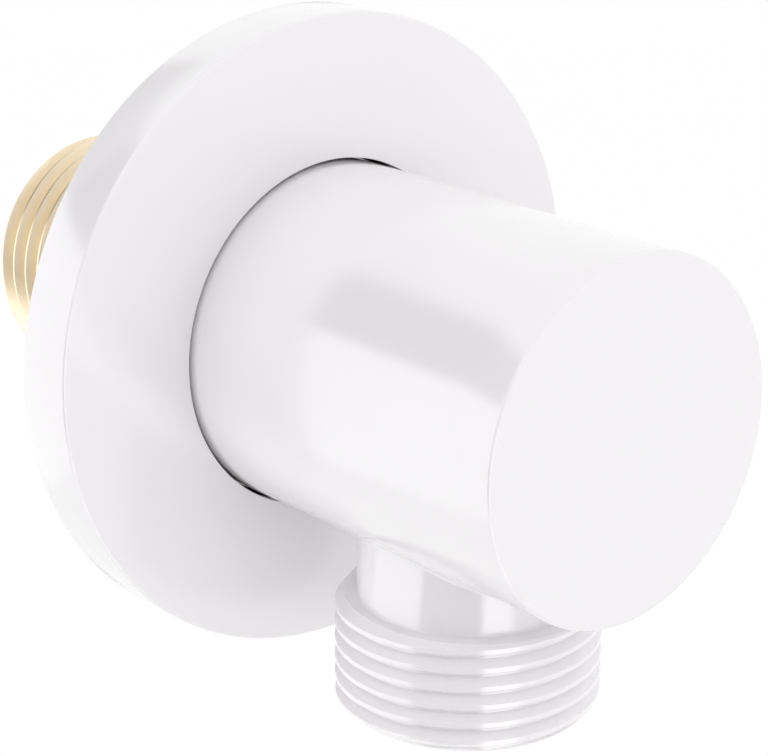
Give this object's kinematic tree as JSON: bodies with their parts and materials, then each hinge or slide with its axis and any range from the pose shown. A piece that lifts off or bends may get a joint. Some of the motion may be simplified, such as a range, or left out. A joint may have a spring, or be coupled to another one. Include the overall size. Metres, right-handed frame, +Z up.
{
  "type": "wall outlet elbow",
  "caption": "White wall outlet elbow for a hand shower: round body with a cover flange, a brass wall thread and a threaded hose outlet pointing down.",
  "frame": {"origin": "on the finished wall plane, at the centre of the inlet thread and of the flange's back rim", "axes": "+Y into the wall along the inlet thread, -Y out into the room, +Z up, hose outlet pointing down along -Z"},
  "size_m": [0.052, 0.0662, 0.0521],
  "materials": {
    "white_coat": "satin white coating on brass",
    "raw_brass": "bare turned brass with cut threads",
    "black_rubber": "matte moulded rubber",
    "valve_plastic": "natural acetal, slightly glossy",
    "spring_steel": "drawn stainless wire"
  },
  "bodies": {
    "elbow": {"elbow_body": "white_coat", "inlet_nipple": "raw_brass", "inlet_washer": "black_rubber", "valve_housing": "valve_plastic", "valve_cage": "valve_plastic", "valve_o_ring": "black_rubber", "valve_spring": "spring_steel"},
    "flange": {"wall_flange": "white_coat", "flange_o_ring": "black_rubber"},
    "poppet": {"valve_poppet": "valve_plastic", "poppet_seal": "black_rubber"}
  },
  "joints": [
    {"name": "flange_slide", "type": "slide", "parent": "elbow", "child": "flange", "axis": [0, -1, 0], "range_m": [0, 0.006]},
    {"name": "valve_opening", "type": "slide", "parent": "elbow", "child": "poppet", "axis": [0, 0, -1], "range_m": [0, 0.002], "stiffness_N_per_m": 100, "springref_m": -0.0015, "deforming": ["valve_spring"]}
  ]
}
